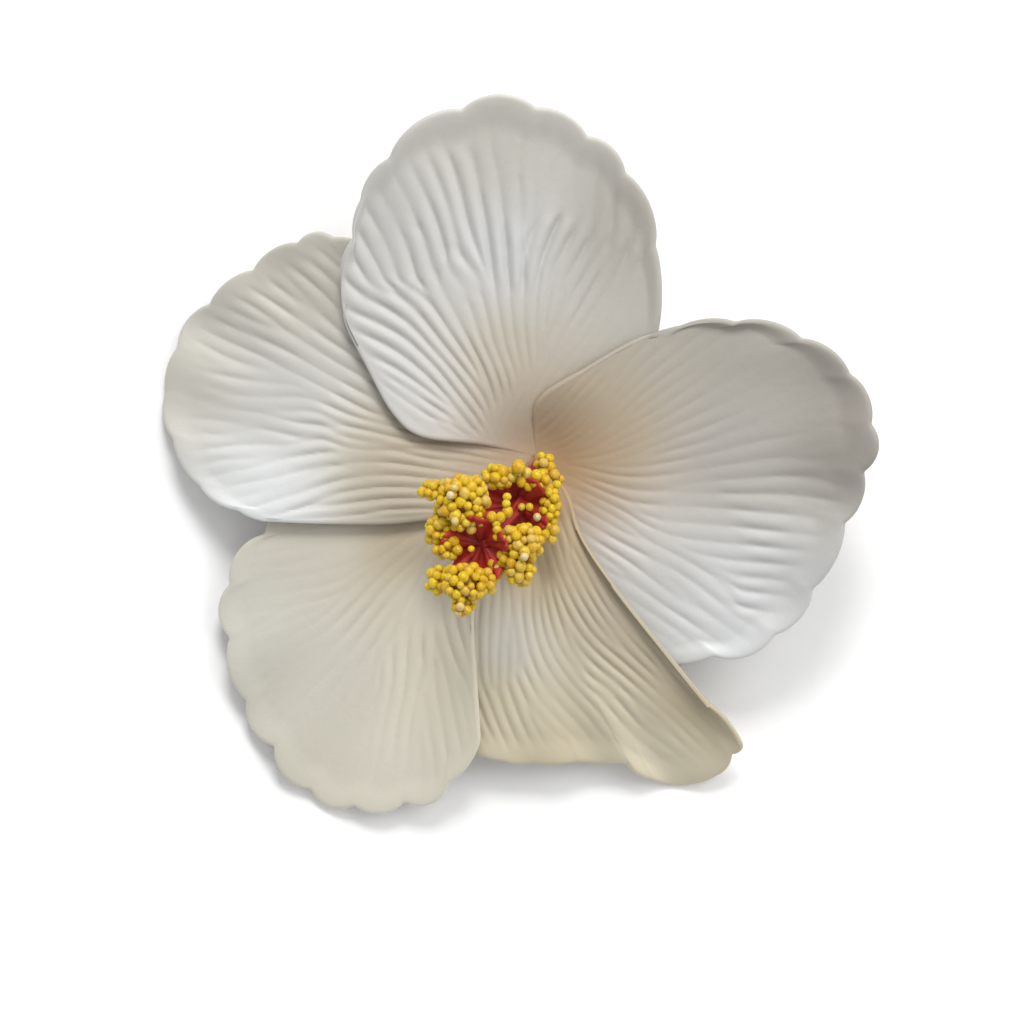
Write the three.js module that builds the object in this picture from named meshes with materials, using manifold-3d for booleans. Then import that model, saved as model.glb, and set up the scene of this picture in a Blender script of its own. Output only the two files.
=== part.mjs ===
// A five-petalled white maga flower, picked and lying on its back with its face up.
// Millimetres, +Z up from the surface it lies on. The petals spread in X and Y around the throat.
import * as THREE from "three";
import { mergeVertices } from "three/addons/utils/BufferGeometryUtils.js";
import Module from "manifold-3d";

const wasm = await Module();
wasm.setup();

// Driving dimensions.
const throat = new THREE.Vector2(0, -3);
const throatRadius = 3;
const throatHeight = 8;
const funnelRise = 8;
const funnelLength = 8;
const petalThickness = 1.2;
const layerStep = 2.5;
const layerGrowth = 0.02;
const bendStart = 14;
const bendLength = 44;
const bendPower = 1.8;
const tipDroop = -14.2;
const tipLift = 10.5;
const liftDirection = 50;
const liftBlend = [-0.5, 0.75];
const rimWave = 0.7;
const rimWaveStart = 0.65;
const gap = 0.35;
const calyxWall = 1.1;
const calyxClearance = 3.3;
const calyxReach = 8.5;
const calyxLobeReach = 2.5;
const calyxTurn = 54;
const stalkRadius = 2.1;
const stalkBevel = 0.3;
const columnTipLength = 0.8;

// Petal grids: steps along each scallop of the rim, and steps from throat to rim.
const scallopSteps = 4;
const radialSteps = 8;

const degrees = Math.PI / 180;
const petalSpacing = 72;

const petalWhite = { color: 0xe6e6e0, roughness: 0.6, metalness: 0 };
const columnRed = { color: 0xa8202e, roughness: 0.6, metalness: 0 };
const antherYellow = { color: 0xeacb22, roughness: 0.45, metalness: 0 };
const calyxGreen = { color: 0x6f8a45, roughness: 0.65, metalness: 0 };

// Each petal: layerAngle is where it crosses the common face, so that its upper side edge lies over one
// neighbour and its lower side edge under the other. ring is its foot on the throat ring, in degrees.
// tipRaise bends its outer half up or down. upper and lower are the side edges from foot to rim.
// rim lists the notches between scallops as x, y and how far the scallop after the notch bulges.
const petals = [
  {
    name: "petal_top",
    layerAngle: 90,
    ring: [125, 60],
    tipRaise: 0,
    upper: [[-8, -0.8], [-17.5, 0.3], [-22, 3.8], [-26, 10.8], [-29.5, 17.8]],
    rim: [
      [-29.3, 22, 1.5], [-28.2, 31, 0.6], [-27, 37, 1.1], [-22.5, 43.3, 2.3], [-11.2, 50.7, 2.2],
      [0, 50.9, 1.4], [8, 46.6, 1.5], [13.9, 41, 1.7], [18.6, 30, 1.2], [18.4, 14, 0],
    ],
    lower: [[6, 3.5], [12, 8.5]],
  },
  {
    name: "petal_left",
    layerAngle: 162,
    ring: [197, 135],
    tipRaise: -0.6,
    upper: [[-9, -10.5], [-20, -13], [-31, -13.3]],
    rim: [
      [-41.8, -13, 0.4], [-46.5, -11.2, 0.9], [-52.6, -7.3, 0.9], [-56.8, 0, 1.1], [-58, 7.2, 0.9],
      [-56.1, 14.3, 1.5], [-51, 21, 1.2], [-44, 26.2, 1.3], [-36, 30.2, 1.8], [-26, 28.5, 0],
    ],
    lower: [[-9.5, 3], [-18, 13]],
  },
  {
    name: "petal_lower_left",
    layerAngle: 234,
    ring: [269, 207],
    tipRaise: 2.5,
    upper: [[-4.5, -13], [-8.6, -21], [-9.8, -28], [-9.2, -38]],
    rim: [
      [-8.2, -46, 0.5], [-13.3, -53.7, 2.1], [-20.4, -57, 1.3], [-28.5, -57.9, 1.4], [-35.3, -54.9, 1.6],
      [-41, -48.4, 1.3], [-45.2, -41.3, 1.6], [-47.9, -31.5, 1.8], [-48, -23.3, 1.4], [-43.2, -16, 0.8],
      [-37, -8.5, 0],
    ],
    lower: [[-10, -6], [-22, -8]],
  },
  {
    name: "petal_lower_right",
    layerAngle: 306,
    ring: [341, 279],
    tipRaise: -2.75,
    upper: [[4.8, -9], [7, -15.5], [12, -23], [20, -33]],
    rim: [
      [26.6, -41.5, 1.7], [31, -49.3, 1.3], [26.5, -53, 2.3], [14.5, -51.4, 0.2], [6, -50.9, 0.2],
      [-3, -50.6, 0.6], [-13, -47.5, 0],
    ],
    lower: [[-4.5, -11], [-11, -22], [-14, -35]],
  },
  {
    name: "petal_right",
    layerAngle: 18,
    ring: [53, -9],
    tipRaise: 0,
    upper: [[0.5, 5.6], [8, 10.8], [16, 15.3]],
    rim: [
      [21.7, 16.1, 1.4], [31.2, 17.8, 1.5], [41.3, 15.2, 1.4], [48.7, 9.7, 1.4], [51.9, 2, 1.8],
      [50.8, -5.3, 1.4], [48, -13.2, 1.3], [43.2, -23.5, 1.5], [37.5, -30.6, 1.9], [28, -34, 0.6],
      [19.5, -35.5, 0],
    ],
    lower: [[6, -14], [12, -25]],
  },
];

// The red column: centre line, section size and ruffle depth from its foot to its tip.
const columnLine = [
  [0, -3, 5.1], [0, -3.2, 9.5], [-0.6, -5.6, 14.5], [-2.4, -10.5, 20], [-5.2, -13.8, 23.5],
  [-8.1, -16.9, 26.5], [-11.2, -22.5, 30],
];
const columnSections = [
  { at: 0, radius: 1.7, ruffle: 0.05 },
  { at: 0.18, radius: 1.5, ruffle: 0.1 },
  { at: 0.3, radius: 2, ruffle: 0.2 },
  { at: 0.42, radius: 4.6, ruffle: 0.35 },
  { at: 0.5, radius: 3, ruffle: 0.3 },
  { at: 0.6, radius: 2.6, ruffle: 0.25 },
  { at: 0.7, radius: 4.9, ruffle: 0.35 },
  { at: 0.8, radius: 3.2, ruffle: 0.3 },
  { at: 0.9, radius: 2, ruffle: 0.2 },
  { at: 1, radius: 1.2, ruffle: 0 },
];
const columnLobes = 5;
const columnStepsPerLobe = 4;

// Anther groups: centre, half sizes and number of beads around each.
const beadRadius = 0.95;
const antherGroups = [
  { name: "anthers_top_left", centre: [-12.2, -9.9, 27.5], half: [5.2, 4.3, 3.2], beads: 13 },
  { name: "anthers_left", centre: [-14.4, -16.4, 25], half: [2.9, 3, 2.8], beads: 8 },
  { name: "anthers_tip", centre: [-12, -23.9, 29.5], half: [4.9, 3.9, 3.2], beads: 13 },
  { name: "anthers_lower_right", centre: [-2.2, -18.2, 28], half: [3.3, 4.9, 3.2], beads: 12 },
  { name: "anthers_link", centre: [-6.6, -21.4, 26], half: [1.7, 1.7, 1.7], beads: 5 },
  { name: "anthers_ridge", centre: [-5, -12, 27.5], half: [1.7, 3.6, 1.7], beads: 8 },
  { name: "anthers_rear_left", centre: [-4.9, -6, 22], half: [3.3, 2.4, 2.4], beads: 8 },
  { name: "anthers_rear_middle", centre: [0.4, -6.9, 21], half: [1.8, 1.7, 1.8], beads: 6 },
  { name: "anthers_rear_right", centre: [2.3, -12, 20.5], half: [1.6, 4, 2], beads: 9 },
  { name: "anthers_rear_top", centre: [3, -4.6, 18.5], half: [1.6, 2.3, 1.8], beads: 7 },
];

// How much of the tips' lift or droop has set in at a distance from the throat.
function outerBend(distance) {
  return Math.pow(Math.max(distance - bendStart, 0) / bendLength, bendPower);
}

// Height of the common surface that all five petals are layered on.
function faceHeight(distance, angle) {
  const fromFoot = Math.max(distance - throatRadius, 0);
  const climb = throatHeight + funnelRise * (1 - Math.exp(-fromFoot / funnelLength));
  const facing = Math.cos((angle - liftDirection) * degrees);
  const lift = THREE.MathUtils.lerp(tipDroop, tipLift, THREE.MathUtils.smoothstep(facing, ...liftBlend));
  return climb + lift * outerBend(distance);
}

// Signed turn from one angle to another, in degrees, between -180 and 180.
function turn(from, to) {
  return ((((to - from) % 360) + 540) % 360) - 180;
}

// Middle surface of one petal above a plan point. across runs 0 to 1 from the upper to the lower side edge.
function petalHeight(petal, point, across, outward) {
  const arm = point.clone().sub(throat);
  const distance = arm.length();
  const angle = Math.atan2(arm.y, arm.x) / degrees;
  const layer = (layerStep + layerGrowth * distance) * turn(petal.layerAngle, angle) / petalSpacing;
  const middle = Math.sin(Math.PI * across) ** 2;
  const scallops = petal.rim.length - 1;
  const nearRim = THREE.MathUtils.smoothstep(outward, rimWaveStart, 1);
  const wave = rimWave * Math.sin(Math.PI * scallops * across) * middle * nearRim;
  return faceHeight(distance, angle) + layer + petal.tipRaise * middle * outerBend(distance) + wave;
}

// Plan points of a rim: a circular bulge after each notch, each in the same number of steps.
function rimPoints(rim) {
  const points = [];
  for (let i = 0; i < rim.length - 1; i += 1) {
    const [x, y, bulge] = rim[i];
    const from = new THREE.Vector2(x, y);
    const to = new THREE.Vector2(rim[i + 1][0], rim[i + 1][1]);
    const along = to.clone().sub(from);
    const outward = new THREE.Vector2(-along.y, along.x).normalize();
    for (let step = 0; step < scallopSteps; step += 1) {
      const t = step / scallopSteps;
      const rise = bulge * 4 * t * (1 - t);
      points.push(from.clone().addScaledVector(along, t).addScaledVector(outward, rise));
    }
  }
  const last = rim[rim.length - 1];
  points.push(new THREE.Vector2(last[0], last[1]));
  return points;
}

function ringPoint(angle) {
  const a = angle * degrees;
  return new THREE.Vector2(Math.cos(a), Math.sin(a)).multiplyScalar(throatRadius).add(throat);
}

// A closed sheet: the grid of middle points, raised and lowered by half the thickness, with walls around it.
function sheetGeometry(grid, thickness) {
  const rows = grid.length;
  const columns = grid[0].length;
  const positions = [];
  for (const side of [0.5, -0.5]) {
    for (const row of grid) {
      for (const p of row) positions.push(p.x, p.y, p.z + side * thickness);
    }
  }
  const top = (i, j) => i * columns + j;
  const bottom = (i, j) => rows * columns + i * columns + j;
  const index = [];
  const quad = (a, b, c, d) => index.push(a, c, b, a, d, c);
  for (let i = 0; i < rows - 1; i += 1) {
    for (let j = 0; j < columns - 1; j += 1) {
      quad(top(i, j), top(i + 1, j), top(i + 1, j + 1), top(i, j + 1));
      quad(bottom(i, j), bottom(i, j + 1), bottom(i + 1, j + 1), bottom(i + 1, j));
    }
  }
  for (let j = 0; j < columns - 1; j += 1) {
    quad(top(0, j), top(0, j + 1), bottom(0, j + 1), bottom(0, j));
    quad(top(rows - 1, j + 1), top(rows - 1, j), bottom(rows - 1, j), bottom(rows - 1, j + 1));
  }
  for (let i = 0; i < rows - 1; i += 1) {
    quad(top(i + 1, 0), top(i, 0), bottom(i, 0), bottom(i + 1, 0));
    quad(top(i, columns - 1), top(i + 1, columns - 1), bottom(i + 1, columns - 1), bottom(i, columns - 1));
  }
  return indexedGeometry(positions, index);
}

function indexedGeometry(positions, index) {
  const geometry = new THREE.BufferGeometry();
  geometry.setAttribute("position", new THREE.Float32BufferAttribute(positions, 3));
  geometry.setIndex(index);
  geometry.computeVertexNormals();
  return geometry;
}

// A petal's plan is a patch between its four edges: foot, rim and the two sides.
function petalGeometry(petal) {
  const rim = rimPoints(petal.rim);
  const foot = petal.ring.map(ringPoint);
  const side = (start, middle, end) =>
    new THREE.SplineCurve([start, ...middle.map(([x, y]) => new THREE.Vector2(x, y)), end]);
  const upper = side(foot[0], petal.upper, rim[0]);
  const lower = side(foot[1], petal.lower, rim[rim.length - 1]);
  const grid = [];
  for (let i = 0; i <= radialSteps; i += 1) {
    const v = i / radialSteps;
    const a = upper.getPointAt(v);
    const b = lower.getPointAt(v);
    const row = [];
    for (let j = 0; j < rim.length; j += 1) {
      const u = j / (rim.length - 1);
      const footPoint = ringPoint(THREE.MathUtils.lerp(petal.ring[0], petal.ring[1], u));
      const sides = a.clone().lerp(b, u);
      const ends = footPoint.lerp(rim[j], v);
      const corners = foot[0].clone().lerp(foot[1], u).lerp(rim[0].clone().lerp(rim[rim.length - 1], u), v);
      const point = sides.add(ends).sub(corners);
      row.push(new THREE.Vector3(point.x, point.y, petalHeight(petal, point, u, v)));
    }
    grid.push(row);
  }
  return sheetGeometry(grid, petalThickness);
}

// Section size and ruffle depth at a fraction of the column's length.
function columnSection(at) {
  const next = columnSections.findIndex((section) => section.at >= at - 1e-9);
  if (next <= 0) return columnSections[0];
  const a = columnSections[next - 1];
  const b = columnSections[next];
  const t = (at - a.at) / (b.at - a.at);
  const radius = THREE.MathUtils.lerp(a.radius, b.radius, t);
  const ruffle = THREE.MathUtils.lerp(a.ruffle, b.ruffle, t);
  return { radius, ruffle };
}

// The fluted column, grown outwards by an even amount where a neighbour is cut back from it.
function columnGeometry(grow) {
  const line = new THREE.CatmullRomCurve3(columnLine.map((p) => new THREE.Vector3(...p)));
  const rings = 18;
  const around = columnLobes * columnStepsPerLobe;
  const positions = [];
  for (let i = 0; i <= rings; i += 1) {
    const at = i / rings;
    const centre = line.getPointAt(at);
    const axis = line.getTangentAt(at);
    const across = new THREE.Vector3(1, 0, 0).cross(axis).normalize();
    const sideways = axis.clone().cross(across).negate();
    const { radius, ruffle } = columnSection(at);
    for (let j = 0; j < around; j += 1) {
      const a = (j / around) * 2 * Math.PI;
      const r = radius * (1 + ruffle * Math.cos(columnLobes * a)) + grow;
      const p = centre.clone();
      p.addScaledVector(sideways, r * Math.cos(a));
      p.addScaledVector(across, r * Math.sin(a));
      positions.push(p.x, p.y, p.z);
    }
  }
  const ends = [line.getPointAt(0), line.getPointAt(1)];
  ends[0].addScaledVector(line.getTangentAt(0), -grow);
  ends[1].addScaledVector(line.getTangentAt(1), columnTipLength + grow);
  for (const p of ends) positions.push(p.x, p.y, p.z);
  const foot = (rings + 1) * around;
  const tip = foot + 1;
  const index = [];
  for (let j = 0; j < around; j += 1) {
    const k = (j + 1) % around;
    for (let i = 0; i < rings; i += 1) {
      const a = i * around;
      const b = a + around;
      index.push(a + j, a + k, b + k, a + j, b + k, b + j);
    }
    index.push(foot, k, j, tip, rings * around + j, rings * around + k);
  }
  return indexedGeometry(positions, index);
}

function solid(geometry) {
  const bare = geometry.clone();
  bare.deleteAttribute("normal");
  bare.deleteAttribute("uv");
  const merged = mergeVertices(bare);
  const triVerts = new Uint32Array(merged.index.array);
  const vertProperties = new Float32Array(merged.attributes.position.array);
  return new wasm.Manifold(new wasm.Mesh({ numProp: 3, vertProperties, triVerts }));
}

function geometryOf(manifold) {
  const mesh = manifold.getMesh();
  return indexedGeometry(Array.from(mesh.vertProperties), Array.from(mesh.triVerts));
}

// The beads of one group, spread evenly over an oval heap, joined with the oval that they are heaped on.
function antherSolid(group, grow) {
  const centre = new THREE.Vector3(...group.centre);
  const half = new THREE.Vector3(...group.half);
  const heap = half.clone().subScalar(beadRadius);
  const oval = new THREE.IcosahedronGeometry(1, 1);
  oval.scale(heap.x + grow, heap.y + grow, heap.z + grow);
  oval.translate(centre.x, centre.y, centre.z);
  let joined = solid(oval);
  const goldenTurn = Math.PI * (3 - Math.sqrt(5));
  for (let i = 0; i < group.beads; i += 1) {
    const z = 1 - (2 * i + 1) / group.beads;
    const r = Math.sqrt(1 - z * z);
    const bead = new THREE.IcosahedronGeometry(beadRadius + grow, 0);
    const place = new THREE.Vector3(r * Math.cos(goldenTurn * i), r * Math.sin(goldenTurn * i), z);
    bead.translate(...place.multiply(heap).add(centre).toArray());
    joined = joined.add(solid(bead));
  }
  return joined;
}

function largestPiece(manifold) {
  const pieces = manifold.decompose();
  return pieces.reduce((best, piece) => (piece.volume() > best.volume() ? piece : best));
}

// The five-lobed cup under the throat. It follows the underside of the petals at an even clearance.
function calyxGeometry() {
  const lobes = 5;
  const around = lobes * 6;
  const rings = 4;
  const positions = [];
  const point = (s, j, drop) => {
    const angle = (j / around) * 360;
    const reach = calyxReach + calyxLobeReach * Math.cos(lobes * (angle - calyxTurn) * degrees);
    const distance = s * reach;
    const plan = new THREE.Vector2(Math.cos(angle * degrees), Math.sin(angle * degrees));
    plan.multiplyScalar(distance).add(throat);
    positions.push(plan.x, plan.y, faceHeight(distance, angle) - calyxClearance - drop);
  };
  for (const drop of [0, calyxWall]) {
    point(0, 0, drop);
    for (let i = 1; i <= rings; i += 1) {
      for (let j = 0; j < around; j += 1) point(i / rings, j, drop);
    }
  }
  const outer = 1 + rings * around;
  const index = [];
  for (let j = 0; j < around; j += 1) {
    const k = (j + 1) % around;
    index.push(0, 1 + j, 1 + k);
    index.push(outer, outer + 1 + k, outer + 1 + j);
    for (let i = 0; i < rings - 1; i += 1) {
      const a = 1 + i * around;
      const b = a + around;
      index.push(a + j, b + j, b + k, a + j, b + k, a + k);
      index.push(outer + a + j, outer + b + k, outer + b + j, outer + a + j, outer + a + k, outer + b + k);
    }
    const rim = 1 + (rings - 1) * around;
    index.push(rim + j, outer + rim + j, outer + rim + k, rim + j, outer + rim + k, rim + k);
  }
  return indexedGeometry(positions, index);
}

// The cut stalk: a short plug with its flat cut end on the surface.
function stalkGeometry() {
  const top = throatHeight - calyxClearance - calyxWall - gap;
  const profile = [
    new THREE.Vector2(0, 0),
    new THREE.Vector2(stalkRadius - stalkBevel, 0),
    new THREE.Vector2(stalkRadius, stalkBevel),
    new THREE.Vector2(stalkRadius, top - stalkBevel),
    new THREE.Vector2(stalkRadius - stalkBevel, top),
    new THREE.Vector2(0, top),
  ];
  const geometry = new THREE.LatheGeometry(profile, 20);
  geometry.rotateX(Math.PI / 2);
  geometry.translate(throat.x, throat.y, 0);
  return geometry;
}

function mesh(name, geometry, look) {
  const made = new THREE.Mesh(geometry, new THREE.MeshStandardMaterial(look));
  made.name = name;
  return made;
}

const flower = new THREE.Group();
for (const petal of petals) flower.add(mesh(petal.name, petalGeometry(petal), petalWhite));
flower.add(mesh("staminal_column", columnGeometry(0), columnRed));

const grownColumn = solid(columnGeometry(gap));
antherGroups.forEach((group, i) => {
  let beads = antherSolid(group, 0).subtract(grownColumn);
  for (const earlier of antherGroups.slice(0, i)) beads = beads.subtract(antherSolid(earlier, gap));
  flower.add(mesh(group.name, geometryOf(largestPiece(beads)), antherYellow));
});
flower.add(mesh("calyx", calyxGeometry(), calyxGreen));
flower.add(mesh("cut_stalk", stalkGeometry(), calyxGreen));

// The origin is the middle of the underside of the flower's box.
const box = new THREE.Box3().setFromObject(flower, true);
flower.position.set(-(box.min.x + box.max.x) / 2, -(box.min.y + box.max.y) / 2, -box.min.z);

export default flower;
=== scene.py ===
import math

import bpy
import numpy as np
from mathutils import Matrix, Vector


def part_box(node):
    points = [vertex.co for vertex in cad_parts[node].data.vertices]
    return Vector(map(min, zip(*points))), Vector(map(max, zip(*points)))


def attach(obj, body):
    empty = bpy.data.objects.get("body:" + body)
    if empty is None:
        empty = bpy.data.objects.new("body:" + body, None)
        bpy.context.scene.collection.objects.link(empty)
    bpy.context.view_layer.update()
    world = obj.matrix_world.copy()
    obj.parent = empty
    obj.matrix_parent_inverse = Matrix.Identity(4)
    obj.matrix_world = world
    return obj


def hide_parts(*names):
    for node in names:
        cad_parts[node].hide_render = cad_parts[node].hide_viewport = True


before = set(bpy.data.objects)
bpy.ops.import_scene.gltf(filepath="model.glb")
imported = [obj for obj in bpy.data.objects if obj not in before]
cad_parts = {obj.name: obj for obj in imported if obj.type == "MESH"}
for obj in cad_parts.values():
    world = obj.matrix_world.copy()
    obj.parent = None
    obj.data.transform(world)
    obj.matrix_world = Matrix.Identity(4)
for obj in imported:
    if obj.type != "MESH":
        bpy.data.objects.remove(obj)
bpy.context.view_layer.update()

# The flower is worked out in millimetres from its throat, as it was built. The cut stalk stands on the
# throat's axis with its end at height 0, so its box says where that is in the shared frame.
mm = 0.001
throat = np.array([0.0, -3.0])
stalkLow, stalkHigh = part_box("cut_stalk")
toFrame = np.array([
    (stalkLow.x + stalkHigh.x) / 2 / mm - throat[0],
    (stalkLow.y + stalkHigh.y) / 2 / mm - throat[1],
    stalkLow.z / mm,
])


# ---- small tools

def linear(hexColour):
    channels = [int(hexColour[i:i + 2], 16) / 255 for i in (1, 3, 5)]
    return tuple(c / 12.92 if c < 0.04045 else ((c + 0.055) / 1.055) ** 2.4 for c in channels) + (1.0,)


def smoothstep(x, low, high):
    t = np.clip((x - low) / (high - low), 0, 1)
    return t * t * (3 - 2 * t)


def unit(v):
    return v / np.maximum(np.linalg.norm(v, axis=-1, keepdims=True), 1e-12)


def alongCurve(knots, count):
    # a Catmull-Rom curve through the knots, walked in even steps of length
    k = np.asarray(knots, float)
    k = np.vstack([k[:1], k, k[-1:]])
    t = np.linspace(0, 1, 40, endpoint=False)[:, None]
    parts = []
    for a, b, c, d in zip(k[:-3], k[1:-2], k[2:-1], k[3:]):
        parts.append(0.5 * (2 * b + (c - a) * t + (2 * a - 5 * b + 4 * c - d) * t ** 2
                            + (3 * b - 3 * c + d - a) * t ** 3))
    return evenSteps(np.vstack(parts + [k[-1:]]), count)


def evenSteps(points, count):
    steps = np.linalg.norm(np.diff(points, axis=0), axis=1)
    length = np.concatenate([[0], np.cumsum(steps)])
    at = np.linspace(0, length[-1], count)
    return np.stack([np.interp(at, length, points[:, i]) for i in range(points.shape[1])], axis=1)


def gridQuads(rows, columns, start=0, flip=False):
    i, j = np.meshgrid(np.arange(rows - 1), np.arange(columns - 1), indexing="ij")
    a = start + i * columns + j
    quads = np.stack([a, a + 1, a + columns + 1, a + columns], axis=-1).reshape(-1, 4)
    return quads[:, ::-1] if flip else quads


def meshPiece(name, points, quads, triangles=(), values=None):
    mesh = bpy.data.meshes.new(name)
    vertices = (np.asarray(points, float).reshape(-1, 3) + toFrame) * mm
    quads = np.asarray(quads, int).reshape(-1, 4)
    triangles = np.asarray(triangles, int).reshape(-1, 3)
    corners = np.concatenate([quads.ravel(), triangles.ravel()]).astype(np.int32)
    sizes = np.concatenate([np.full(len(quads), 4), np.full(len(triangles), 3)])
    starts = np.concatenate([[0], np.cumsum(sizes)[:-1]]).astype(np.int32)
    mesh.vertices.add(len(vertices))
    mesh.vertices.foreach_set("co", vertices.astype(np.float32).ravel())
    mesh.loops.add(len(corners))
    mesh.loops.foreach_set("vertex_index", corners)
    mesh.polygons.add(len(sizes))
    mesh.polygons.foreach_set("loop_start", starts)
    mesh.polygons.foreach_set("use_smooth", np.ones(len(sizes), bool))
    mesh.update(calc_edges=True)
    mesh.validate()
    for key, value in (values or {}).items():
        layer = mesh.attributes.new(key, "FLOAT", "POINT")
        layer.data.foreach_set("value", np.asarray(value, np.float32).ravel())
    piece = bpy.data.objects.new(name, mesh)
    bpy.context.scene.collection.objects.link(piece)
    return piece


def finishPiece(piece, nodes, material):
    piece.data.materials.append(material)
    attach(piece, "root")
    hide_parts(*nodes)


# ---- material tools

def newMaterial(name):
    material = bpy.data.materials.new(name)
    material.use_nodes = True
    return material, material.node_tree.nodes["Principled BSDF"]


def addNode(material, kind, settings=None, inputs=None, links=None):
    tree = material.node_tree
    node = tree.nodes.new(kind)
    for key, value in (settings or {}).items():
        setattr(node, key, value)
    for key, value in (inputs or {}).items():
        node.inputs[key].default_value = value
    for key, socket in (links or {}).items():
        tree.links.new(socket, node.inputs[key])
    return node


def attribute(material, name):
    return addNode(material, "ShaderNodeAttribute", {"attribute_name": name}).outputs["Fac"]


def mixColour(material, factor, first, second):
    node = addNode(material, "ShaderNodeMix", {"data_type": "RGBA"})
    for socket, value in ((node.inputs[0], factor), (node.inputs[6], first), (node.inputs[7], second)):
        if isinstance(value, bpy.types.NodeSocket):
            material.node_tree.links.new(value, socket)
        else:
            socket.default_value = value
    return node.outputs[2]


def objectNoise(material, sizeMm, detail=3, roughness=0.5):
    place = addNode(material, "ShaderNodeTexCoord").outputs["Object"]
    return addNode(material, "ShaderNodeTexNoise", None,
                   {"Scale": 1 / (sizeMm * mm), "Detail": detail, "Roughness": roughness},
                   {"Vector": place}).outputs["Fac"]


def ramp(material, factor, low, high):
    return addNode(material, "ShaderNodeMapRange", None, {1: low, 2: high, 3: 0.0, 4: 1.0},
                   {0: factor}).outputs[0]


def bump(material, height, depthMm, normal=None):
    links = {"Height": height}
    if normal is not None:
        links["Normal"] = normal
    return addNode(material, "ShaderNodeBump", None, {"Strength": 1.0, "Distance": depthMm * mm},
                   links).outputs["Normal"]


def setShader(material, shader, values, links):
    for key, value in values.items():
        shader.inputs[key].default_value = value
    for key, socket in links.items():
        material.node_tree.links.new(socket, shader.inputs[key])


# ---- petals

face = {
    "throatRadius": 3.0,
    "throatEase": 3.0,
    "footRadius": 0.5,
    "throatHeight": 8.0,
    "funnelRise": 8.0,
    "funnelLength": 8.0,
    "thickness": 1.15,
    "layerStep": 1.8,
    "layerGrowth": 0.02,
    "layersPart": (3.5, 15.0),
    "spacing": 72.0,
    "bendStart": 14.0,
    "bendLength": 44.0,
    "bendPower": 1.8,
    "tipDroop": -14.2,
    "tipLift": 10.5,
    "liftDirection": 50.0,
    "liftBlend": (-0.5, 0.75),
    "rimWave": 0.7,
    "rimWaveStart": 0.65,
    "curlStart": 0.92,
    "lipWidth": 0.14,
    "lipGrows": (0.15, 0.5),
    "edgeInset": 0.45,
    "acrossSteps": 300,
    "outwardSteps": 150,
    "rimRings": 6,
    "rimSquareness": 0.75,
    "undersideRelief": 0.6,
    "slopeStep": 0.3,
    "ridgeCell": 0.25,
    "ridgeRounds": 6,
    "ridgeDirections": 18,
    "ridgeSpacings": (1.1, 1.65, 2.2, 2.75, 3.3),
    "ridgeSlope": 0.26,
}

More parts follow.
